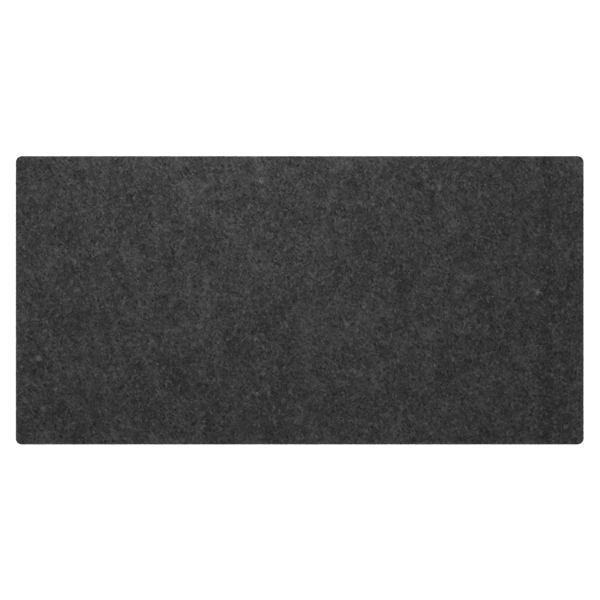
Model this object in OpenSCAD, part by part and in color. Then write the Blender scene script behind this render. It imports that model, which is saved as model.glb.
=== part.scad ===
// Felt desk mat: a felt face bonded to a rubber grip base, all cut to one outline.
// Millimetres, +Z up, +X along the width, +Y from front to back.
// The origin lies on the desk surface under the middle of the mat.

/* [Outline] */
// Width of the mat, left to right
mat_w = 630; // [400:1:1000]
// Depth of the mat, front to back
mat_d = 320; // [200:1:500]
// Radius of the four die-cut corners
corner_r = 6.5; // [1:0.5:60]

/* [Layers] */
// Thickness of the felt face
felt_t = 3; // [1:0.1:8]
// Thickness of the hot-melt film between felt and base
film_t = 0.1; // [0.05:0.01:0.5]
// Thickness of the rubber grip base
base_t = 1; // [0.5:0.1:4]

/* [Hidden] */

// Segments round a full circle, fine enough for a smooth corner
corner_fn = 96;

// Height of each layer's underside: the layers lie face on face
base_z = 0;
film_z = base_z + base_t;
felt_z = film_z + film_t;

// Middle of each corner's arc, measured from the middle of the mat
corner_x = mat_w / 2 - corner_r;
corner_y = mat_d / 2 - corner_r;

// The cutting die's outline: a rectangle with round corners
module die_outline() {
    square([mat_w, 2 * corner_y], center = true);
    square([2 * corner_x, mat_d], center = true);
    for (side_x = [-1, 1], side_y = [-1, 1])
        translate([side_x * corner_x, side_y * corner_y])
            circle(r = corner_r, $fn = corner_fn);
}

// One layer of the stack, cut to the die's outline
module cut_layer(underside_z, thickness) {
    translate([0, 0, underside_z])
        linear_extrude(height = thickness)
            die_outline();
}

// Needle-punched charcoal felt, the face that is written and moused on
module felt_face() {
    color("#3b3b3b")
        cut_layer(felt_z, felt_t);
}

// Hot-melt film, melted into the felt above and the rubber below
module bond_film() {
    color("#8c8a84")
        cut_layer(film_z, film_t);
}

// Rubber sheet that rests on the desk and stops the mat sliding
module grip_base() {
    color("#1b1b1b")
        cut_layer(base_z, base_t);
}

felt_face();
bond_film();
grip_base();
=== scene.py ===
"""Felt desk mat: the looks of the mat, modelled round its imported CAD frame.

The mat is a bonded stack. From the desk up it is a rubber grip sheet with moulded dots under it, a film of
melted adhesive, and a needle-punched felt sheet with loose fibres on its face and along its cut edge.
The file is laid out as an add-on and is run as a script. Lengths are in metres.
"""
import math

import bmesh
import bpy
import numpy as np
from bpy.props import FloatProperty, FloatVectorProperty, IntProperty, PointerProperty
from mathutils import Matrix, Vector
from mathutils.bvhtree import BVHTree


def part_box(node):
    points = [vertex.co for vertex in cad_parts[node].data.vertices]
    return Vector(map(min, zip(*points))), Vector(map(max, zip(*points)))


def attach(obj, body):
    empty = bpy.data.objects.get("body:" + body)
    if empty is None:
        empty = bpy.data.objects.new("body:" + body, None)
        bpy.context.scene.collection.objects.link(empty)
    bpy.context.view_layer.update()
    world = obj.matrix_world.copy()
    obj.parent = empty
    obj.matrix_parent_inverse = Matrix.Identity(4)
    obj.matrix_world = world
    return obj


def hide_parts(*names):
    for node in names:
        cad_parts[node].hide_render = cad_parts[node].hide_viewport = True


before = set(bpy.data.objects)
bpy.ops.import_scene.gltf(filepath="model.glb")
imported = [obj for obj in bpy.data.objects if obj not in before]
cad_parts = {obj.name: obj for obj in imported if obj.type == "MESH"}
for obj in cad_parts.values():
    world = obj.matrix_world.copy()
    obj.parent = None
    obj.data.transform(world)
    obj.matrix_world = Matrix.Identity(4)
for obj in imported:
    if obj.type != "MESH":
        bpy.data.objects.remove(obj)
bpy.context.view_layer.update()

bl_info = {
    "name": "Felt desk mat",
    "version": (1, 0, 0),
    "blender": (4, 5, 0),
    "location": "3D Viewport > Sidebar > Desk Mat",
    "description": "Models a felt desk mat on a rubber grip base, layer by layer",
    "category": "Add Mesh",
}

# ---------------------------------------------------------------------------------------------------------
# Sizes taken from the frame

MM = 0.001
BODY = "root"
BAKE_MAP = "OFBake"
FELT_LOW, FELT_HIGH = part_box("felt_face")
BASE_LOW, BASE_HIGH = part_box("grip_base")
MAT_W = FELT_HIGH.x - FELT_LOW.x
MAT_D = FELT_HIGH.y - FELT_LOW.y


def cut_corner_radius(node):
    """The radius of a layer's round corners, read from where its right-hand side stops being straight."""
    low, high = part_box(node)
    places = [vertex.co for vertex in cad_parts[node].data.vertices]
    straight_end = max(place.y for place in places if high.x - place.x < 0.01 * MM)
    return high.y - straight_end


CORNER_R = cut_corner_radius("felt_face")


def linear(hex_colour):
    """An sRGB colour such as "3b3b3b" as linear red, green, blue and alpha."""
    channels = [int(hex_colour[place:place + 2], 16) / 255 for place in (0, 2, 4)]
    turned = [c / 12.92 if c <= 0.04045 else ((c + 0.055) / 1.055) ** 2.4 for c in channels]
    return (*turned, 1.0)


def colour_property(name, description, hex_colour):
    """A colour that the user can change, with its default given as sRGB hex."""
    return FloatVectorProperty(name=name, description=description, subtype="COLOR", size=4,
                               min=0.0, max=1.0, default=linear(hex_colour))


def length_property(name, description, default):
    """A length that the user can change, in metres."""
    return FloatProperty(name=name, description=description, default=default, min=0.0,
                         precision=5, unit="LENGTH")


# ---------------------------------------------------------------------------------------------------------
# Settings


class FeltSettings(bpy.types.PropertyGroup):
    """Sizes and colours of the felt sheet."""

    pitch: length_property("Mesh pitch", "Side of one cell of the felt's mesh", 1.75 * MM)
    loft: length_property("Loft", "Height of the loose fibres above the punched web", 0.12 * MM)
    rim: length_property("Rim", "How far the cut edge is rounded over", 0.8 * MM)
    relief: length_property("Relief", "Height of the web's lumps", 0.22 * MM)
    lump: length_property("Lump size", "Width of one lump of the web", 7 * MM)
    cloud: length_property("Cloud size", "Width of the clouds in the blend", 48 * MM)
    cloud_depth: FloatProperty(name="Cloud depth", description="How strongly the blend varies",
                               default=1.7, min=0.0, max=4.0)
    curl: FloatProperty(name="Curls", description="How pale the long curls are", default=0.36,
                        min=0.0, max=1.0)
    # Band: a strip of the felt's colour drawn a little darker, parallel to the right-hand edge.
    band: FloatProperty(name="Band", description="How much darker the pressed band is", default=0.22,
                        min=0.0, max=1.0)
    band_inset: length_property("Band inset", "From the right-hand edge to the pressed band", 40 * MM)
    # Painted light: how much paler the felt's colour is painted along its cut edge, and how far in.
    painted_edge_light: FloatProperty(name="Fray", description="How much paler the felt is at its cut edge", default=0.12,
                        min=0.0, max=1.0)
    painted_edge_light_width: length_property("Fray width", "How far in from the cut edge the felt is paler", 18 * MM)
    reach: FloatProperty(name="Reach", description="Tone at which the palest and darkest colours are met",
                         default=1.07, min=0.1, max=4.0)
    strand: FloatVectorProperty(name="Strand", description="Length, width and thickness of a drawn strand",
                                default=(4.1 * MM, 1.8 * MM, 0.85 * MM), unit="LENGTH", precision=5)
    hair: FloatVectorProperty(name="Fibre", description="Length, width and thickness of a drawn fibre",
                              default=(6 * MM, 0.6 * MM, 0.4 * MM), unit="LENGTH", precision=5)
    hair_depth: FloatProperty(name="Fibre depth", description="How clearly the single fibres show",
                              default=0.6, min=0.0, max=2.0)
    # The darkest tone stands for dark fibre and for painted shade in the pits between fibre bundles.
    dark: colour_property("Dark", "Colour in the pits between fibre bundles", "090909")
    middle: colour_property("Middle", "Colour of most of the web", "262626")
    light: colour_property("Light", "Colour of the bundles of pale fibre", "4f4f4f")


class FibreSettings(bpy.types.PropertyGroup):
    """Number, size and colours of the loose fibres."""

    pieces: IntProperty(name="Pieces", description="How many pieces the face's fibres are split into",
                        default=5, min=1, max=12)
    per_piece: IntProperty(name="Fibres in a piece", description="Fibres laid in each piece",
                           default=5000, min=10, max=5200)
    on_edge: IntProperty(name="Fibres on the edge", description="Fibres along the cut edge",
                         default=4200, min=10, max=5200)
    thickness: length_property("Thickness", "Diameter of one fibre bundle", 0.26 * MM)
    segment: length_property("Segment", "Length of one straight stretch of a fibre", 0.95 * MM)
    lift: length_property("Lift", "How high a fibre arches above the web", 0.2 * MM)
    bury: length_property("Bury", "How deep a fibre's ends dip into the web", 0.12 * MM)
    neps: IntProperty(name="Neps", description="Small knots of pale fibre on the face", default=32,
                      min=1, max=400)
    in_nep: IntProperty(name="Fibres in a nep", description="Fibres tangled in each knot", default=40,
                        min=1, max=80)
    nep_spread: length_property("Nep spread", "How far a knot's fibres lie from its middle", 1.2 * MM)
    nep_segment: length_property("Nep segment", "Length of one straight stretch in a knot", 0.5 * MM)
    seed: IntProperty(name="Seed", description="Start of the random draws", default=11, min=0)
    dark: colour_property("Dark", "Colour of the darkest fibres", "1a1a1a")
    middle: colour_property("Middle", "Colour of the middle fibres", "383838")
    light: colour_property("Light", "Colour of the palest fibres", "8a8a8a")


class BaseSettings(bpy.types.PropertyGroup):
    """Sizes and colours of the film and the rubber."""

    dot_pitch: length_property("Dot pitch", "Distance between the grip dots", 6 * MM)
    dot_r: length_property("Dot radius", "Radius of one grip dot", 1.6 * MM)
    dot_h: length_property("Dot height", "How far the grip dots stand out", 0.3 * MM)
    margin: length_property("Margin", "Plain border round the grip dots", 4 * MM)
    edge: length_property("Edge", "Rounding of the rubber's cut edges", 0.12 * MM)
    rubber: colour_property("Rubber", "Colour of the rubber", "1b1b1b")
    dust: colour_property("Dust", "Colour of the bloom on the rubber", "2b2a29")
    film: colour_property("Film", "Colour of the set adhesive", "8c8a84")
    film_thin: colour_property("Thin film", "Colour where the adhesive is thin", "4c4b48")


class StageSettings(bpy.types.PropertyGroup):
    """Camera, lights and table."""

    lens: FloatProperty(name="Lens", description="Focal length in millimetres", default=100.0, min=10.0)
    frame_w: length_property("Frame width", "Width of the view at the height of the felt", 0.6655)
    table: colour_property("Table", "Colour of the table", "f2f2f2")
    table_glow: FloatProperty(name="Table glow", description="Light that comes up through the table",
                              default=0.6, min=0.0)
    sky_low: FloatProperty(name="Wall light", description="Brightness of the studio wall", default=1.05)
    sky_high: FloatProperty(name="Ceiling light", description="Brightness of the ceiling", default=0.62)
    key_power: FloatProperty(name="Key power", description="Power of the softbox", default=1.87,
                             min=0.0, unit="POWER")
    key_size: length_property("Key size", "Side of the softbox", 0.3)
    key_place: FloatVectorProperty(name="Key place", description="Softbox, from the middle of the felt",
                                   default=(-0.087, 0.311, 0.46), unit="LENGTH", precision=5)
    aim: FloatVectorProperty(name="Aim", description="Place on the mat at the middle of the view", size=2,
                             default=(0.33 * MM, 0.27 * MM), unit="LENGTH", precision=5)


# ---------------------------------------------------------------------------------------------------------
# Helpers


def start_clean():
    """Deselects everything, so that what follows acts on the next primitive alone."""
    for thing in list(bpy.context.selected_objects):
        thing.select_set(False)


def named(name):
    """The primitive just added, with its object and mesh named."""
    made = bpy.context.active_object
    made.name = name
    made.data.name = name
    return made


def apply_all(piece):
    """Applies a piece's modifiers in order."""
    bpy.context.view_layer.objects.active = piece
    for modifier in list(piece.modifiers):
        bpy.ops.object.modifier_apply(modifier=modifier.name)


def edit(piece):
    """Opens a piece in edit mode with nothing selected."""
    bpy.context.view_layer.objects.active = piece
    piece.select_set(True)
    bpy.ops.object.mode_set(mode="EDIT")
    bpy.ops.mesh.select_mode(type="EDGE")
    bpy.ops.mesh.select_all(action="DESELECT")


def select_edges(piece, wanted):
    """Selects the edges of the open piece for which wanted(edge) is true."""
    shape = bmesh.from_edit_mesh(piece.data)
    for edge in shape.edges:
        edge.select_set(bool(wanted(edge)))
    shape.select_flush_mode()
    bmesh.update_edit_mesh(piece.data)


def is_sharp(edge):
    """Whether two faces meet at the edge at more than one radian, about 57 degrees."""
    return len(edge.link_faces) == 2 and edge.calc_face_angle() > 1.0


def finish_piece(piece, slot, material, *nodes):
    """Gives a piece its material, its body and the CAD nodes that it stands for. Its slot is not used."""
    piece.data.materials.clear()
    piece.data.materials.append(material)
    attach(piece, BODY)
    if nodes:
        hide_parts(*nodes)


def round_corners(mesh, radius):
    """Bends a rectangular grid's corners onto arcs, with each corner square spread over a quarter disc."""
    places = np.empty(len(mesh.vertices) * 3, np.float32)
    mesh.vertices.foreach_get("co", places)
    places = places.reshape(-1, 3).astype(float)
    centre = np.array([MAT_W / 2 - radius, MAT_D / 2 - radius])
    side = np.sign(places[:, :2])
    share = (np.abs(places[:, :2]) - centre) / radius
    inside = (share > 0).all(axis=1)
    u, v = share[inside].T
    disc = np.column_stack([u * np.sqrt(1 - v * v / 2), v * np.sqrt(1 - u * u / 2)])
    places[inside, :2] = side[inside] * (centre + radius * disc)
    mesh.vertices.foreach_set("co", places.astype(np.float32).ravel())
    mesh.update()


# ---------------------------------------------------------------------------------------------------------
# Materials


def add_node(tree, kind, inputs=None, **settings):
    """Adds one shader node, sets its settings, and fills each input with a value or a link."""
    made = tree.nodes.new(kind)
    for name, value in settings.items():
        setattr(made, name, value)
    for key, value in (inputs or {}).items():
        if isinstance(value, bpy.types.NodeSocket):
            tree.links.new(value, made.inputs[key])
        else:
            made.inputs[key].default_value = value
    return made


def new_material(name):
    """An empty node material: its tree, its Principled shader and itself."""
    material = bpy.data.materials.new(name)
    material.use_nodes = True
    tree = material.node_tree
    return material, tree, tree.nodes["Principled BSDF"]


def set_ramp(ramp, stops, smooth=True):
    """Puts a colour ramp's stops at (place, colour)."""
    band = ramp.color_ramp
    band.interpolation = "LINEAR" if smooth else "CONSTANT"
    while len(band.elements) > 2:
        band.elements.remove(band.elements[-1])
    while len(band.elements) < len(stops):
        band.elements.new(0.5)
    for element, (place, colour) in zip(band.elements, stops):
        element.position = place
        element.color = colour


CRIMP_WIDTH = 5 * MM
CRIMP_BEND = (4.5 * MM, 4.5 * MM, 1 * MM)
STRAND_TURNS = (1.55, 0.25, 2.8, 0.95, 2.15)
FIBRE_TURNS = (0.6, 1.7, 2.7)
CURL_WIDTH = 16 * MM
BAND_WIDTH = 12 * MM
# How far a noise may be from its middle value and still draw a fibre or a curl.
FIBRE_LINE, CURL_LINE = 0.08, 0.04


def add_line_distance(tree, place, **inputs):
    """How far a noise is from its middle value, which is small along thin winding lines."""
    noise = add_node(tree, "ShaderNodeTexNoise", {"Vector": place, "Detail": 1.0, **inputs})
    away = add_node(tree, "ShaderNodeMath", {0: noise.outputs["Fac"], 1: 0.5}, operation="SUBTRACT")
    return add_node(tree, "ShaderNodeMath", {0: away.outputs[0]}, operation="ABSOLUTE").outputs[0]


def add_fade(tree, value, reach, near, far):
    """Goes smoothly from near, where value is 0, to far, where it is reach or more."""
    return add_node(tree, "ShaderNodeMapRange",
                    {"Value": value, "From Min": 0.0, "From Max": reach, "To Min": near, "To Max": far},
                    interpolation_type="SMOOTHSTEP").outputs["Result"]


def needle_punched_felt(settings):
    """Needle-punched melange felt: dyed and undyed staple fibre, punched into a web and pressed. It looks
    like charcoal with soft clouds where the blend varies and a few long curls of pale fibre, under short
    strands that run every way. The pits between them are dark, partly dark fibre and partly painted shade.
    Its colour is painted paler along its cut edge, as painted light."""
    material, tree, shader = new_material("needle_punched_felt")
    place = add_node(tree, "ShaderNodeTexCoord").outputs["Object"]
    # The carded blend varies over about 50 mm, and again over the tufts in that. The web is drawn from
    # front to back, so both are longer that way.
    drawn = add_node(tree, "ShaderNodeMapping",
                     {"Vector": place, "Scale": (settings.cloud, 1.35 * settings.cloud, settings.cloud)},
                     vector_type="TEXTURE")
    blend = add_node(tree, "ShaderNodeTexNoise",
                     {"Vector": drawn.outputs["Vector"], "Scale": 1.0, "Detail": 4.0, "Roughness": 1.0,
                      "Lacunarity": 1.8})
    # Crimp: every strand bends by about a millimetre, over 5 mm.
    crimp = add_node(tree, "ShaderNodeTexNoise", {"Vector": place, "Scale": 1 / CRIMP_WIDTH, "Detail": 1.0})
    bent = add_node(tree, "ShaderNodeVectorMath", {0: crimp.outputs["Color"], 1: CRIMP_BEND, 2: place},
                    operation="MULTIPLY_ADD").outputs[0]
    # Strands lie flat over each other in five layers. A real one is 0.03 mm wide, too fine to show from a
    # metre away, so each one drawn is a bundle. Its tone runs from -1, dark, to 1, pale, mostly near 0.
    shade = 0.0
    for turn in STRAND_TURNS:
        laid = add_node(tree, "ShaderNodeMapping",
                        {"Vector": bent, "Location": (turn, turn, turn), "Rotation": (0.0, 0.0, turn),
                         "Scale": settings.strand}, vector_type="TEXTURE")
        strand = add_node(tree, "ShaderNodeTexVoronoi", {"Vector": laid.outputs["Vector"], "Scale": 1.0})
        tone = add_node(tree, "ShaderNodeSeparateColor", {"Color": strand.outputs["Color"]})
        tone = add_node(tree, "ShaderNodeMapRange", {"Value": tone.outputs["Red"], "To Min": -1.0})
        tone = add_node(tree, "ShaderNodeMath", {0: tone.outputs["Result"], 1: 3.0}, operation="POWER")
        cover = add_node(tree, "ShaderNodeMapRange",
                         {"Value": strand.outputs["Distance"], "From Min": 0.35, "From Max": 0.6,
                          "To Min": 1.0, "To Max": 0.0}, interpolation_type="SMOOTHSTEP")
        shade = add_node(tree, "ShaderNodeMix",
                         {0: cover.outputs["Result"], 2: shade, 3: tone.outputs[0]}).outputs[0]
    # Single fibres 0.1 mm wide, drawn where stretched noises cross their middle value.
    nearest = 1.0
    for turn in FIBRE_TURNS:
        combed = add_node(tree, "ShaderNodeMapping",
                          {"Vector": bent, "Rotation": (0.0, 0.0, turn), "Scale": settings.hair},
                          vector_type="TEXTURE")
        away = add_line_distance(tree, combed.outputs["Vector"], Scale=1.0)
        nearest = add_node(tree, "ShaderNodeMath", {0: nearest, 1: away}, operation="MINIMUM").outputs[0]
    hair = add_fade(tree, nearest, FIBRE_LINE, 0.75, -0.25)
    shade = add_node(tree, "ShaderNodeMath", {0: hair, 1: settings.hair_depth, 2: shade},
                     operation="MULTIPLY_ADD").outputs[0]
    # Curls: thin loops of pale fibre about 16 mm across, drawn in the same way.
    away = add_line_distance(tree, bent, Scale=1 / CURL_WIDTH)
    curl = add_fade(tree, away, CURL_LINE, settings.curl, 0.0)
    # One band of the felt's colour, parallel to the right-hand edge, is drawn a little darker.
    along = add_node(tree, "ShaderNodeSeparateXYZ", {"Vector": bent})
    off = add_node(tree, "ShaderNodeMath",
                   {0: along.outputs["X"], 1: MAT_W / 2 - settings.band_inset}, operation="SUBTRACT")
    off = add_node(tree, "ShaderNodeMath", {0: off.outputs[0]}, operation="ABSOLUTE")
    band = add_fade(tree, off.outputs[0], BAND_WIDTH, -settings.band, 0.0)
    # Painted light: the colour is made paler within a set width of the cut edge,
    # in place of the light that falls there.
    folded = add_node(tree, "ShaderNodeVectorMath", {0: bent}, operation="ABSOLUTE")
    inset = add_node(tree, "ShaderNodeVectorMath",
                     {0: (MAT_W / 2, MAT_D / 2, 0.0), 1: folded.outputs[0]}, operation="SUBTRACT")
    inset = add_node(tree, "ShaderNodeSeparateXYZ", {"Vector": inset.outputs[0]})
    inset = add_node(tree, "ShaderNodeMath", {0: inset.outputs["X"], 1: inset.outputs["Y"]},
                     operation="MINIMUM")
    painted_edge_light = add_fade(tree, inset.outputs[0], settings.painted_edge_light_width, settings.painted_edge_light, 0.0)
    cloudy = add_node(tree, "ShaderNodeMath", {0: blend.outputs["Fac"], 1: settings.cloud_depth, 2: shade},
                      operation="MULTIPLY_ADD").outputs[0]
    for extra in (curl, band, painted_edge_light):
        cloudy = add_node(tree, "ShaderNodeMath", {0: cloudy, 1: extra}).outputs[0]
    half = settings.cloud_depth / 2
    level = add_node(tree, "ShaderNodeMapRange", {
        "Value": cloudy, "From Min": half - settings.reach, "From Max": half + settings.reach})
    ramp = add_node(tree, "ShaderNodeValToRGB", {"Fac": level.outputs["Result"]})
    # The ramp's dark end is dark fibre and painted shade in the pits; its pale end is pale fibre.
    set_ramp(ramp, [(0.0, settings.dark), (0.5, settings.middle), (1.0, settings.light)])
    tree.links.new(ramp.outputs["Color"], shader.inputs["Base Color"])
    bump = add_node(tree, "ShaderNodeBump", {"Height": shade, "Strength": 0.6, "Distance": 0.2 * MM})
    tree.links.new(bump.outputs["Normal"], shader.inputs["Normal"])
    shader.inputs["Roughness"].default_value = 0.95
    shader.inputs["Specular IOR Level"].default_value = 0.15
    shader.inputs["Sheen Weight"].default_value = 0.12
    shader.inputs["Sheen Roughness"].default_value = 0.6
    return material


SHADE_STEPS = 24
# Beta distribution of the fibres' shades: most are dark and a few are pale.
SHADE_SPREAD = (1.2, 2.8)


def staple_fibre(settings):
    """Crimped polyester staple fibre, spun-dyed in several greys and cut short. It looks like matt hair,
    each fibre in one shade. The shade is U on the piece's map, and V runs along the fibre."""
    material, tree, shader = new_material("staple_fibre")
    own_map = add_node(tree, "ShaderNodeUVMap", uv_map=BAKE_MAP)
    across = add_node(tree, "ShaderNodeSeparateXYZ", {"Vector": own_map.outputs["UV"]})
    steps = add_node(tree, "ShaderNodeMath", {0: across.outputs["X"], 1: float(SHADE_STEPS)},
                     operation="MULTIPLY")
    whole = add_node(tree, "ShaderNodeMath", {0: steps.outputs[0]}, operation="FLOOR")
    shade = add_node(tree, "ShaderNodeMath", {0: whole.outputs[0], 1: float(SHADE_STEPS - 1)},
                     operation="DIVIDE")
    ramp = add_node(tree, "ShaderNodeValToRGB", {"Fac": shade.outputs[0]})
    set_ramp(ramp, [(0.0, settings.dark), (0.45, settings.middle), (1.0, settings.light)])
    tree.links.new(ramp.outputs["Color"], shader.inputs["Base Color"])
    shader.inputs["Roughness"].default_value = 0.85
    shader.inputs["Specular IOR Level"].default_value = 0.25
    shader.inputs["Sheen Weight"].default_value = 0.1
    return material


BLOOM_WIDTH = 25 * MM
GRAIN_WIDTH = 0.6 * MM
POOL_WIDTH = 4 * MM


def moulded_rubber(settings):
    """Black rubber sheet, calendered and moulded, with a grey bloom. It looks dull and slightly dusty."""
    material, tree, shader = new_material("calendered_rubber")
    place = add_node(tree, "ShaderNodeTexCoord").outputs["Object"]
    bloom = add_node(tree, "ShaderNodeTexNoise",
                     {"Vector": place, "Scale": 1 / BLOOM_WIDTH, "Detail": 5.0, "Roughness": 0.65})
    ramp = add_node(tree, "ShaderNodeValToRGB", {"Fac": bloom.outputs["Fac"]})
    set_ramp(ramp, [(0.4, settings.rubber), (0.75, settings.dust)])
    tree.links.new(ramp.outputs["Color"], shader.inputs["Base Color"])
    grain = add_node(tree, "ShaderNodeTexNoise",
                     {"Vector": place, "Scale": 1 / GRAIN_WIDTH, "Detail": 2.0, "Roughness": 0.5})
    bump = add_node(tree, "ShaderNodeBump",
                    {"Height": grain.outputs["Fac"], "Strength": 0.3, "Distance": 0.05 * MM})
    tree.links.new(bump.outputs["Normal"], shader.inputs["Normal"])
    rough = add_node(tree, "ShaderNodeMapRange",
                     {"Value": bloom.outputs["Fac"], "To Min": 0.6, "To Max": 0.85})
    tree.links.new(rough.outputs["Result"], shader.inputs["Roughness"])
    return material


def hot_melt(settings):
    """Polyamide hot-melt film, melted between the two sheets. It looks like a thin waxy grey line at the
    cut edge, paler where more of it was pressed out."""
    material, tree, shader = new_material("hot_melt_film")
    place = add_node(tree, "ShaderNodeTexCoord").outputs["Object"]
    pools = add_node(tree, "ShaderNodeTexNoise",
                     {"Vector": place, "Scale": 1 / POOL_WIDTH, "Detail": 3.0, "Roughness": 0.6})
    ramp = add_node(tree, "ShaderNodeValToRGB", {"Fac": pools.outputs["Fac"]})
    set_ramp(ramp, [(0.35, settings.film_thin), (0.7, settings.film)])
    tree.links.new(ramp.outputs["Color"], shader.inputs["Base Color"])
    shader.inputs["Roughness"].default_value = 0.45
    return material


# ---------------------------------------------------------------------------------------------------------
# Maps and heights

STRIP = 0.012


def map_layer(mesh, low, high):
    """Gives a flat layer its map: its upper face and rounded rim fill nearly the whole map, and each side
    of its edge and its underside take one narrow strip below that."""
    layer = mesh.uv_layers.new(name=BAKE_MAP)
    normals = np.empty(len(mesh.polygons) * 3, np.float32)
    mesh.polygons.foreach_get("normal", normals)
    totals = np.empty(len(mesh.polygons), np.int32)
    mesh.polygons.foreach_get("loop_total", totals)
    normals = np.repeat(normals.reshape(-1, 3), totals, axis=0)
    corners = np.empty(len(mesh.loops), np.int32)
    mesh.loops.foreach_get("vertex_index", corners)
    places = np.empty(len(mesh.vertices) * 3, np.float32)
    mesh.vertices.foreach_get("co", places)
    places = places.reshape(-1, 3)[corners]
    x, y, z = ((places - np.array(low)) / (np.array(high) - np.array(low))).T.clip(0, 1)
    top_start = 5.5 * STRIP
    up = normals[:, 2] > 0.35
    down = normals[:, 2] < -0.7
    along_x = np.abs(normals[:, 1]) >= np.abs(normals[:, 0])
    strip = np.where(along_x, np.where(normals[:, 1] > 0, 1, 2), np.where(normals[:, 0] > 0, 3, 4))
    u = np.where(up | down | along_x, x, y)
    v = (strip + 0.1 + 0.8 * z) * STRIP
    v = np.where(down, 0.8 * y * STRIP, v)
    v = np.where(up, top_start + (1 - top_start) * y, v)
    layer.data.foreach_set("uv", np.column_stack([u, v]).astype(np.float32).ravel())


class SheetHeights:
    """The height of a sheet's upper face anywhere, from rays dropped on it over a regular grid."""

    STEP = 2.5 * MM
    RAY_START = 100 * MM

    def __init__(self, sheet):
        tree = BVHTree.FromObject(sheet, bpy.context.evaluated_depsgraph_get())
        self.across = int(MAT_W / self.STEP) + 1
        self.deep = int(MAT_D / self.STEP) + 1
        xs = np.linspace(-MAT_W / 2, MAT_W / 2, self.across)
        ys = np.linspace(-MAT_D / 2, MAT_D / 2, self.deep)
        down = Vector((0.0, 0.0, -1.0))
        heights = np.full((self.across, self.deep), np.nan)
        for i, x in enumerate(xs):
            for j, y in enumerate(ys):
                hit = tree.ray_cast(Vector((x, y, self.RAY_START)), down)[0]
                if hit is not None:
                    heights[i, j] = hit.z
        heights[np.isnan(heights)] = np.nanmedian(heights)
        self.heights = heights

    def at(self, x, y):
        """Heights at arrays of places, between the grid's by bilinear interpolation."""
        column = ((x / MAT_W + 0.5) * (self.across - 1)).clip(0, self.across - 1.001)
        row = ((y / MAT_D + 0.5) * (self.deep - 1)).clip(0, self.deep - 1.001)
        i, j = column.astype(int), row.astype(int)
        s, t = column - i, row - j
        near = self.heights[i, j] * (1 - s) + self.heights[i + 1, j] * s
        far = self.heights[i, j + 1] * (1 - s) + self.heights[i + 1, j + 1] * s
        return near * (1 - t) + far * t


# ---------------------------------------------------------------------------------------------------------
# Strands

STRAND_SIDES = 3
STRAND_STEPS = 6
STRAND_KINDS = 16
# Spread in radians of a strand's own bend at each step, and of the turns added to it.
CRIMP_SPREAD, TURN_SPREAD = 0.38, 0.42


def model_strand(rng, thickness, segment, bend):
    """Models one crimped strand lying along +X: a three-sided ring is extruded and turned step by step.
    Returns its vertices and its faces."""
    radius = thickness / 2
    start_clean()
    bpy.ops.mesh.primitive_circle_add(vertices=STRAND_SIDES, radius=radius, fill_type="NGON",
                                      rotation=(0.0, math.pi / 2, 0.0), location=(0.0, 0.0, 0.0))
    strand = named("strand")
    bpy.ops.object.transform_apply(location=True, rotation=True, scale=True)
    bpy.ops.object.mode_set(mode="EDIT")
    bpy.ops.mesh.select_mode(type="FACE")
    bpy.ops.mesh.select_all(action="SELECT")
    heading = 0.0
    tip = Vector((0.0, 0.0, 0.0))
    crimp = bend * rng.normal(0.0, CRIMP_SPREAD)
    for _ in range(STRAND_STEPS):
        turn = crimp + bend * rng.normal(0.0, TURN_SPREAD)
        forward = Vector((math.cos(heading + turn / 2), math.sin(heading + turn / 2), 0.0)) * segment
        bpy.ops.mesh.extrude_region_move(TRANSFORM_OT_translate={"value": forward})
        tip += forward
        bpy.ops.transform.rotate(value=turn, orient_axis="Z", center_override=tip)
        heading += turn
    bpy.ops.mesh.select_all(action="SELECT")
    bpy.ops.mesh.normals_make_consistent(inside=False)
    bpy.ops.object.mode_set(mode="OBJECT")
    mesh = strand.data
    places = np.array([vertex.co for vertex in mesh.vertices])
    faces = [tuple(polygon.vertices) for polygon in mesh.polygons]
    bpy.data.objects.remove(strand)
    bpy.data.meshes.remove(mesh)
    return places, faces


class StrandSet:
    """Modelled strands with the same faces, ready to be copied many times."""

    def __init__(self, rng, thickness, segment, bend=1.0):
        made = [model_strand(rng, thickness, segment, bend) for _ in range(STRAND_KINDS)]
        self.places = np.array([places - places.mean(axis=0) for places, _ in made])
        self.faces = made[0][1]
        rings = self.places.shape[1] // STRAND_SIDES
        self.along = np.arange(self.places.shape[1]) // STRAND_SIDES / (rings - 1)
        self.maps = self.face_maps()

    def face_maps(self):
        """Map places of each face corner: round the strand in U, along it in V."""
        places = []
        for face in self.faces:
            side = [vertex % STRAND_SIDES for vertex in face]
            along = [self.along[vertex] for vertex in face]
            if len(face) == STRAND_SIDES:
                places += [(0.2, along[0]), (0.8, along[0]), (0.5, abs(along[0] - 0.05))]
                continue
            wraps = {0, STRAND_SIDES - 1} <= set(side)
            places += [((STRAND_SIDES if wraps and k == 0 else k) / STRAND_SIDES, t)
                       for k, t in zip(side, along)]
        return np.array(places)


def lay_strands(strands, kind, size, turn, middle):
    """Copies of strands of the given kinds, each scaled, turned about Z and moved to its middle."""
    local = strands.places[kind] * size[:, None, None]
    cos, sin = np.cos(turn)[:, None], np.sin(turn)[:, None]
    return np.stack([local[:, :, 0] * cos - local[:, :, 1] * sin + middle[:, :1],
                     local[:, :, 0] * sin + local[:, :, 1] * cos + middle[:, 1:],
                     local[:, :, 2]], axis=-1)


def arch_over(strands, settings):
    """How high each vertex of a strand stands over the web: both ends are buried and the middle is up."""
    return np.sin(math.pi * strands.along) * (settings.lift + settings.bury) - settings.bury


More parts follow.
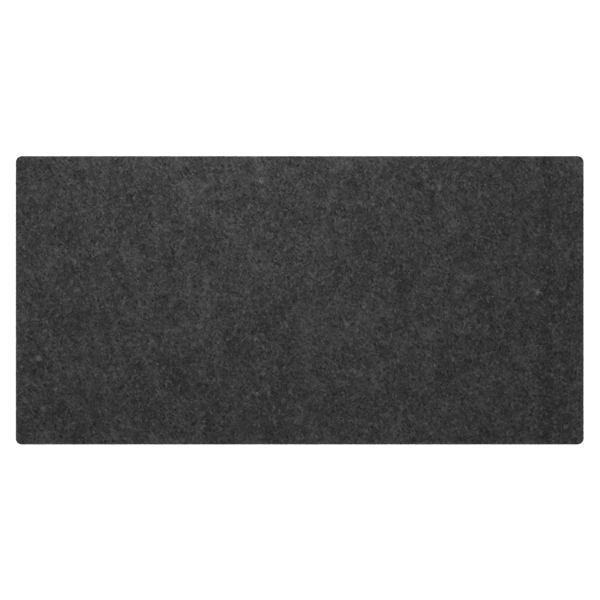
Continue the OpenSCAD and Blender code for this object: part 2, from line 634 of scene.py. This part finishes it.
def copies_to_mesh(name, strands, places, shades):
    """One mesh of many strand copies. places is (copies, vertices, 3), and shades is each copy's step."""
    copies, count, _ = places.shape
    corners = np.concatenate([np.array(face) for face in strands.faces])
    sizes = np.array([len(face) for face in strands.faces])
    all_corners = (corners[None, :] + count * np.arange(copies)[:, None]).ravel()
    all_sizes = np.tile(sizes, copies)
    mesh = bpy.data.meshes.new(name)
    mesh.vertices.add(copies * count)
    mesh.vertices.foreach_set("co", places.astype(np.float32).ravel())
    mesh.loops.add(len(all_corners))
    mesh.loops.foreach_set("vertex_index", all_corners.astype(np.int32))
    mesh.polygons.add(len(all_sizes))
    starts = np.concatenate([[0], np.cumsum(all_sizes)[:-1]])
    mesh.polygons.foreach_set("loop_start", starts.astype(np.int32))
    mesh.update(calc_edges=True)
    mesh.validate()
    mesh.shade_smooth()
    layer = mesh.uv_layers.new(name=BAKE_MAP)
    u = (shades[:, None] + 0.15 + 0.7 * strands.maps[None, :, 0]) / SHADE_STEPS
    v = np.broadcast_to(0.02 + 0.96 * strands.maps[None, :, 1], u.shape)
    layer.data.foreach_set("uv", np.stack([u, v], axis=-1).astype(np.float32).ravel())
    made = bpy.data.objects.new(name, mesh)
    bpy.context.scene.collection.objects.link(made)
    return made


def inside_outline(x, y, inset):
    """Whether places lie inside the mat's outline drawn in by inset."""
    radius = CORNER_R - inset
    dx = np.maximum(np.abs(x) - (MAT_W / 2 - CORNER_R), 0)
    dy = np.maximum(np.abs(y) - (MAT_D / 2 - CORNER_R), 0)
    corner = np.hypot(dx, dy) <= radius
    straight = (np.abs(x) <= MAT_W / 2 - inset) & (np.abs(y) <= MAT_D / 2 - inset)
    return straight & corner


def outline_at(distance):
    """Places and outward directions on the mat's outline, at distances round it from the front middle."""
    half_w, half_d = MAT_W / 2 - CORNER_R, MAT_D / 2 - CORNER_R
    arc = CORNER_R * math.pi / 2
    spans = np.array([half_w, arc, 2 * half_d, arc, 2 * half_w, arc, 2 * half_d, arc, half_w])
    starts = np.concatenate([[0.0], np.cumsum(spans)])
    distance = np.asarray(distance) % starts[-1]
    stretch = np.searchsorted(starts, distance, side="right") - 1
    gone = distance - starts[stretch]
    heading = np.array([0, 0, 1, 1, 2, 2, 3, 3, 4])[stretch] * math.pi / 2
    corner = np.isin(stretch, (1, 3, 5, 7))
    turned = np.where(corner, gone / CORNER_R, 0.0)
    outward = heading + turned - math.pi / 2
    directions = np.column_stack([np.cos(outward), np.sin(outward)])
    centres = {1: (half_w, -half_d), 3: (half_w, half_d), 5: (-half_w, half_d), 7: (-half_w, -half_d)}
    lines = {0: ((0.0, -MAT_D / 2), (1, 0)), 2: ((MAT_W / 2, -half_d), (0, 1)),
             4: ((half_w, MAT_D / 2), (-1, 0)), 6: ((-MAT_W / 2, half_d), (0, -1)),
             8: ((-half_w, -MAT_D / 2), (1, 0))}
    places = np.empty((len(distance), 2))
    for number, (start, way) in lines.items():
        here = stretch == number
        places[here] = np.array(start) + gone[here, None] * np.array(way)
    for number, centre in centres.items():
        here = stretch == number
        places[here] = np.array(centre) + CORNER_R * directions[here]
    return places, directions


BORDER = 0.35 * MM
OUTLINE_LENGTH = 2 * (MAT_W + MAT_D) - 8 * CORNER_R + 2 * math.pi * CORNER_R


# ---------------------------------------------------------------------------------------------------------
# Operators


class DESKMAT_OT_felt_sheet(bpy.types.Operator):
    """Model the needle-punched felt sheet with its rounded, fluffed cut edge"""

    bl_idname = "deskmat.felt_sheet"
    bl_label = "Felt sheet"

    def execute(self, context):
        settings = context.scene.mat_felt
        top = FELT_HIGH.z - settings.loft
        start_clean()
        bpy.ops.mesh.primitive_grid_add(x_subdivisions=round(MAT_W / settings.pitch),
                                        y_subdivisions=round(MAT_D / settings.pitch),
                                        size=1.0, location=(0.0, 0.0, top))
        sheet = named("felt_sheet")
        sheet.scale = (MAT_W, MAT_D, 1.0)
        bpy.ops.object.transform_apply(location=True, rotation=True, scale=True)
        round_corners(sheet.data, CORNER_R)
        edit(sheet)
        select_edges(sheet, lambda edge: edge.is_boundary)
        rows = 3
        drop = (top - FELT_LOW.z) / rows
        for _ in range(rows):
            bpy.ops.mesh.extrude_region_move(TRANSFORM_OT_translate={"value": (0.0, 0.0, -drop)})
        bpy.ops.mesh.edge_face_add()
        select_edges(sheet, lambda edge: is_sharp(edge)
                     and all(end.co.z > top - drop / 2 for end in edge.verts))
        bpy.ops.mesh.bevel(offset=settings.rim, segments=3, affect="EDGES")
        bpy.ops.mesh.select_all(action="SELECT")
        bpy.ops.mesh.normals_make_consistent(inside=False)
        bpy.ops.object.mode_set(mode="OBJECT")
        loose = sheet.vertex_groups.new(name="loose")
        above = [vertex.index for vertex in sheet.data.vertices if vertex.co.z > FELT_LOW.z + 0.1 * MM]
        loose.add(above, 1.0, "REPLACE")
        lumps = bpy.data.textures.new("felt_lumps", "CLOUDS")
        lumps.noise_scale = settings.lump
        lumps.noise_depth = 2
        relief = sheet.modifiers.new("relief", "DISPLACE")
        relief.texture = lumps
        relief.strength = settings.relief
        relief.vertex_group = loose.name
        apply_all(sheet)
        sheet.vertex_groups.clear()
        sheet.data.shade_smooth()
        map_layer(sheet.data, FELT_LOW, FELT_HIGH)
        finish_piece(sheet, "felt", needle_punched_felt(settings), "felt_face")
        return {"FINISHED"}


class DESKMAT_OT_face_fibres(bpy.types.Operator):
    """Lay loose crimped fibres all over the felt's face, with their ends dipping into the web"""

    bl_idname = "deskmat.face_fibres"
    bl_label = "Face fibres"

    def execute(self, context):
        settings = context.scene.mat_fibres
        heights = SheetHeights(bpy.data.objects["felt_sheet"])
        rng = np.random.default_rng(settings.seed)
        strands = StrandSet(rng, settings.thickness, settings.segment)
        material = staple_fibre(settings)
        arch = arch_over(strands, settings)
        for number in range(1, settings.pieces + 1):
            places = self.scatter(rng, strands, settings.per_piece)
            places[:, :, 2] += heights.at(places[:, :, 0], places[:, :, 1]) + arch
            shades = (rng.beta(*SHADE_SPREAD, len(places)) * SHADE_STEPS).astype(int)
            piece = copies_to_mesh(f"face_fibres_{number}", strands, places, shades)
            finish_piece(piece, "felt", material)
        return {"FINISHED"}

    @staticmethod
    def scatter(rng, strands, count):
        """Strand copies turned, scaled and spread over the face, all of each one inside the outline."""
        tries = int(count * 1.1)
        kind = rng.integers(STRAND_KINDS, size=tries)
        turn = rng.uniform(0, 2 * math.pi, tries)
        # The web is drawn a little from front to back as it is punched, so strands lean that way.
        turn += 0.18 * np.sin(2 * turn)
        size = rng.uniform(0.65, 1.25, tries)
        middle = np.column_stack([rng.uniform(-0.5, 0.5, tries) * MAT_W,
                                  rng.uniform(-0.5, 0.5, tries) * MAT_D])
        places = lay_strands(strands, kind, size, turn, middle)
        kept = inside_outline(places[:, :, 0], places[:, :, 1], BORDER).all(axis=1)
        return places[kept][:count]


class DESKMAT_OT_neps(bpy.types.Operator):
    """Lay neps on the face: the few small knots of pale fibre that carding leaves in a web"""

    bl_idname = "deskmat.neps"
    bl_label = "Neps"

    def execute(self, context):
        settings = context.scene.mat_fibres
        heights = SheetHeights(bpy.data.objects["felt_sheet"])
        rng = np.random.default_rng(settings.seed + 2)
        strands = StrandSet(rng, settings.thickness, settings.nep_segment, bend=2.2)
        knot = np.repeat(np.arange(settings.neps), settings.in_nep)
        border = 2 * CORNER_R
        centre = rng.uniform(-0.5, 0.5, (settings.neps, 2)) * (MAT_W - border, MAT_D - border)
        bulk = rng.uniform(0.6, 1.4, settings.neps)[knot]
        middle = centre[knot] + bulk[:, None] * rng.normal(0.0, settings.nep_spread, (len(knot), 2))
        kind = rng.integers(STRAND_KINDS, size=len(knot))
        size = bulk * rng.uniform(0.8, 1.2, len(knot))
        turn = rng.uniform(0, 2 * math.pi, len(knot))
        places = lay_strands(strands, kind, size, turn, middle)
        places[:, :, 2] += heights.at(places[:, :, 0], places[:, :, 1]) + arch_over(strands, settings)
        shades = (rng.uniform(0.6, 0.95, settings.neps)[knot] * SHADE_STEPS).astype(int)
        piece = copies_to_mesh("nep_fibres", strands, places, shades)
        finish_piece(piece, "felt", bpy.data.materials["staple_fibre"])
        return {"FINISHED"}


class DESKMAT_OT_edge_fibres(bpy.types.Operator):
    """Lay fibres along the die-cut edge, bowed a little way out of it"""

    bl_idname = "deskmat.edge_fibres"
    bl_label = "Edge fibres"

    # Strands start between these depths inside the felt's lower and upper faces, and stay between these.
    LOWEST_START, HIGHEST_START = 0.3 * MM, 0.5 * MM
    LOWEST, HIGHEST = 0.12 * MM, 0.15 * MM
    # How far a strand's middle bows out, and how far its ends are sunk into the edge.
    BOW, SUNK = 0.3 * MM, 0.2 * MM

    def execute(self, context):
        settings = context.scene.mat_fibres
        rng = np.random.default_rng(settings.seed + 1)
        strands = StrandSet(rng, settings.thickness, settings.segment)
        count = settings.on_edge
        kind = rng.integers(STRAND_KINDS, size=count)
        size = rng.uniform(0.4, 0.8, count)
        lean = rng.normal(0.0, 0.35, count)
        start = rng.uniform(0, OUTLINE_LENGTH, count)
        height = rng.uniform(FELT_LOW.z + self.LOWEST_START, FELT_HIGH.z - self.HIGHEST_START, count)
        local = strands.places[kind] * size[:, None, None]
        # A strand's X runs round the outline, its Y becomes height, and its bow stands out of the edge.
        round_outline = start[:, None] + local[:, :, 0] * np.cos(lean)[:, None]
        rise = height[:, None] + 0.5 * local[:, :, 1] + local[:, :, 0] * np.sin(lean)[:, None]
        rise = rise.clip(FELT_LOW.z + self.LOWEST, FELT_HIGH.z - self.HIGHEST)
        spots, outward = outline_at(round_outline.ravel())
        bow = np.sin(math.pi * strands.along) * self.BOW - self.SUNK
        out = (bow[None, :] * rng.uniform(0.6, 1.3, count)[:, None] + local[:, :, 2]).ravel()
        # Near the top, strands follow the rounded rim inwards.
        rim = context.scene.mat_felt.rim
        over = np.clip(1 - (FELT_HIGH.z - rise).ravel() / rim, 0, 1)
        out -= rim * (1 - np.sqrt(1 - over ** 2)) * 0.9
        flat = spots + outward * out[:, None]
        places = np.column_stack([flat, rise.ravel()]).reshape(count, -1, 3)
        shades = (rng.beta(*SHADE_SPREAD, count) * SHADE_STEPS).astype(int)
        piece = copies_to_mesh("edge_fibres", strands, places, shades)
        finish_piece(piece, "felt", bpy.data.materials["staple_fibre"])
        return {"FINISHED"}


class DESKMAT_OT_adhesive_film(bpy.types.Operator):
    """Finish the film of melted adhesive, which keeps its CAD shape"""

    bl_idname = "deskmat.adhesive_film"
    bl_label = "Adhesive film"

    def execute(self, context):
        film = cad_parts["bond_film"]
        film.data.materials.clear()
        film.data.materials.append(hot_melt(context.scene.mat_base))
        return {"FINISHED"}


class DESKMAT_OT_grip_sheet(bpy.types.Operator):
    """Model the rubber sheet and the dots moulded on its underside"""

    bl_idname = "deskmat.grip_sheet"
    bl_label = "Grip sheet"

    CELL = 3 * MM

    def execute(self, context):
        settings = context.scene.mat_base
        material = moulded_rubber(settings)
        underside = BASE_LOW.z + settings.dot_h
        start_clean()
        bpy.ops.mesh.primitive_grid_add(x_subdivisions=round(MAT_W / self.CELL),
                                        y_subdivisions=round(MAT_D / self.CELL),
                                        size=1.0, location=(0.0, 0.0, underside))
        sheet = named("grip_sheet")
        sheet.scale = (MAT_W, MAT_D, 1.0)
        bpy.ops.object.transform_apply(location=True, rotation=True, scale=True)
        round_corners(sheet.data, CORNER_R)
        edit(sheet)
        select_edges(sheet, lambda edge: edge.is_boundary)
        rise = BASE_HIGH.z - underside
        bpy.ops.mesh.extrude_region_move(TRANSFORM_OT_translate={"value": (0.0, 0.0, rise)})
        bpy.ops.mesh.edge_face_add()
        select_edges(sheet, is_sharp)
        bpy.ops.mesh.bevel(offset=settings.edge, segments=2, affect="EDGES")
        bpy.ops.mesh.select_all(action="SELECT")
        bpy.ops.mesh.normals_make_consistent(inside=False)
        bpy.ops.object.mode_set(mode="OBJECT")
        map_layer(sheet.data, BASE_LOW, BASE_HIGH)
        finish_piece(sheet, "rubber", material, "grip_base")
        self.add_dots(settings, material, underside)
        return {"FINISHED"}

    @staticmethod
    def add_dots(settings, material, underside):
        """Models one low round dot, narrower underneath, and copies it in staggered rows."""
        start_clean()
        bpy.ops.mesh.primitive_cylinder_add(vertices=8, radius=settings.dot_r, depth=settings.dot_h * 1.2,
                                            location=(0.0, 0.0, underside - settings.dot_h * 0.4))
        dot = named("dot")
        bpy.ops.object.transform_apply(location=True, rotation=True, scale=True)
        places = np.array([vertex.co for vertex in dot.data.vertices])
        faces = [tuple(polygon.vertices) for polygon in dot.data.polygons]
        bpy.data.objects.remove(dot)
        places[:, :2] *= np.where(places[:, 2:] < underside, 0.72, 1.0)
        rise = settings.dot_pitch * math.sqrt(3) / 2
        rows = int(MAT_D / rise) // 2
        columns = int(MAT_W / settings.dot_pitch) // 2 + 1
        spots = np.array([((column + 0.5 * (row % 2)) * settings.dot_pitch, row * rise)
                          for row in range(-rows, rows + 1) for column in range(-columns, columns + 1)])
        x, y = spots.T
        reach = settings.margin + settings.dot_r
        off_sides = (np.abs(x) < MAT_W / 2 - reach) & (np.abs(y) < MAT_D / 2 - reach)
        spots = spots[off_sides & inside_outline(x, y, min(reach, CORNER_R * 0.99))]
        count = len(places)
        copies = places[None] + np.column_stack([spots, np.zeros(len(spots))])[:, None]
        mesh = bpy.data.meshes.new("grip_dots")
        mesh.from_pydata(copies.reshape(-1, 3).tolist(), [],
                         [[corner + count * number for corner in face]
                          for number in range(len(spots)) for face in faces])
        dots = bpy.data.objects.new("grip_dots", mesh)
        bpy.context.scene.collection.objects.link(dots)
        finish_piece(dots, "rubber", material)


class DESKMAT_OT_stage(bpy.types.Operator):
    """Set up the camera, the pale table lit from below, the studio walls and the softbox"""

    bl_idname = "deskmat.stage"
    bl_label = "Stage"

    # Where the walls' light ends and the ceiling's begins, as the Z of the direction that is looked in.
    WALL_TOP, CEILING = 0.25, 0.5

    def execute(self, context):
        settings = context.scene.mat_stage
        self.add_table(settings)
        self.add_walls(context, settings)
        self.add_softbox(settings)
        self.add_camera(context, settings)
        return {"FINISHED"}

    @staticmethod
    def add_table(settings):
        """A wide white acrylic table with light under it, so that it stays white round the mat."""
        start_clean()
        bpy.ops.mesh.primitive_plane_add(size=60.0, location=(0.0, 0.0, BASE_LOW.z - 0.02 * MM))
        table = named("table")
        material, _, shader = new_material("opal_acrylic_table")
        shader.inputs["Base Color"].default_value = settings.table
        shader.inputs["Roughness"].default_value = 0.9
        shader.inputs["Specular IOR Level"].default_value = 0.0
        shader.inputs["Emission Color"].default_value = (1.0, 1.0, 1.0, 1.0)
        shader.inputs["Emission Strength"].default_value = settings.table_glow
        table.data.materials.append(material)

    def add_walls(self, context, settings):
        """Soft light from all round: white near the horizon and dimmer overhead."""
        world = bpy.data.worlds.new("studio")
        world.use_nodes = True
        tree = world.node_tree
        way = add_node(tree, "ShaderNodeTexCoord").outputs["Generated"]
        split = add_node(tree, "ShaderNodeSeparateXYZ", {"Vector": way})
        level = add_node(tree, "ShaderNodeMapRange",
                         {"Value": split.outputs["Z"], "From Min": self.WALL_TOP, "From Max": self.CEILING,
                          "To Min": settings.sky_low, "To Max": settings.sky_high})
        background = tree.nodes["Background"]
        background.inputs["Color"].default_value = (1.0, 1.0, 1.0, 1.0)
        tree.links.new(level.outputs["Result"], background.inputs["Strength"])
        context.scene.world = world

    @staticmethod
    def add_softbox(settings):
        """A square softbox above and behind the mat's left half, pointing down."""
        place = Vector(settings.key_place) + Vector((0.0, 0.0, FELT_HIGH.z))
        bpy.ops.object.light_add(type="AREA", location=place)
        softbox = bpy.context.active_object
        softbox.name = "softbox"
        softbox.data.shape = "SQUARE"
        softbox.data.size = settings.key_size
        softbox.data.energy = settings.key_power
        softbox.visible_camera = False

    @staticmethod
    def add_camera(context, settings):
        """A long lens straight above the mat."""
        sensor = 36.0
        distance = settings.frame_w * settings.lens / sensor
        bpy.ops.object.camera_add(location=(*settings.aim, FELT_HIGH.z + distance),
                                  rotation=(0.0, 0.0, 0.0))
        camera = bpy.context.active_object
        camera.name = "camera"
        camera.data.lens = settings.lens
        camera.data.sensor_width = sensor
        camera.data.clip_end = 100.0
        context.scene.camera = camera
        context.scene.view_settings.view_transform = "Standard"


class DESKMAT_PT_panel(bpy.types.Panel):
    """The mat's steps, in the order that they are run"""

    bl_idname = "DESKMAT_PT_panel"
    bl_label = "Felt desk mat"
    bl_space_type = "VIEW_3D"
    bl_region_type = "UI"
    bl_category = "Desk Mat"

    def draw(self, context):
        for operator in STEPS:
            self.layout.operator(operator.bl_idname)
        for group in GROUPS:
            box = self.layout.box()
            held = getattr(context.scene, group)
            for name in held.bl_rna.properties.keys():
                if name not in ("rna_type", "name"):
                    box.prop(held, name)


STEPS = (DESKMAT_OT_stage, DESKMAT_OT_felt_sheet, DESKMAT_OT_face_fibres, DESKMAT_OT_neps,
         DESKMAT_OT_edge_fibres, DESKMAT_OT_adhesive_film, DESKMAT_OT_grip_sheet)
GROUPS = {"mat_felt": FeltSettings, "mat_fibres": FibreSettings, "mat_base": BaseSettings,
          "mat_stage": StageSettings}


def register():
    """Registers the settings, the operators and the panel."""
    for kind in (*GROUPS.values(), *STEPS, DESKMAT_PT_panel):
        bpy.utils.register_class(kind)
    for name, kind in GROUPS.items():
        setattr(bpy.types.Scene, name, PointerProperty(type=kind))


def unregister():
    """Takes everything that register() added away again."""
    for name in GROUPS:
        delattr(bpy.types.Scene, name)
    for kind in reversed((*GROUPS.values(), *STEPS, DESKMAT_PT_panel)):
        bpy.utils.unregister_class(kind)


def main():
    register()
    bpy.ops.deskmat.stage()
    bpy.ops.deskmat.felt_sheet()
    bpy.ops.deskmat.face_fibres()
    bpy.ops.deskmat.neps()
    bpy.ops.deskmat.edge_fibres()
    bpy.ops.deskmat.adhesive_film()
    bpy.ops.deskmat.grip_sheet()


if __name__ == "__main__":
    main()
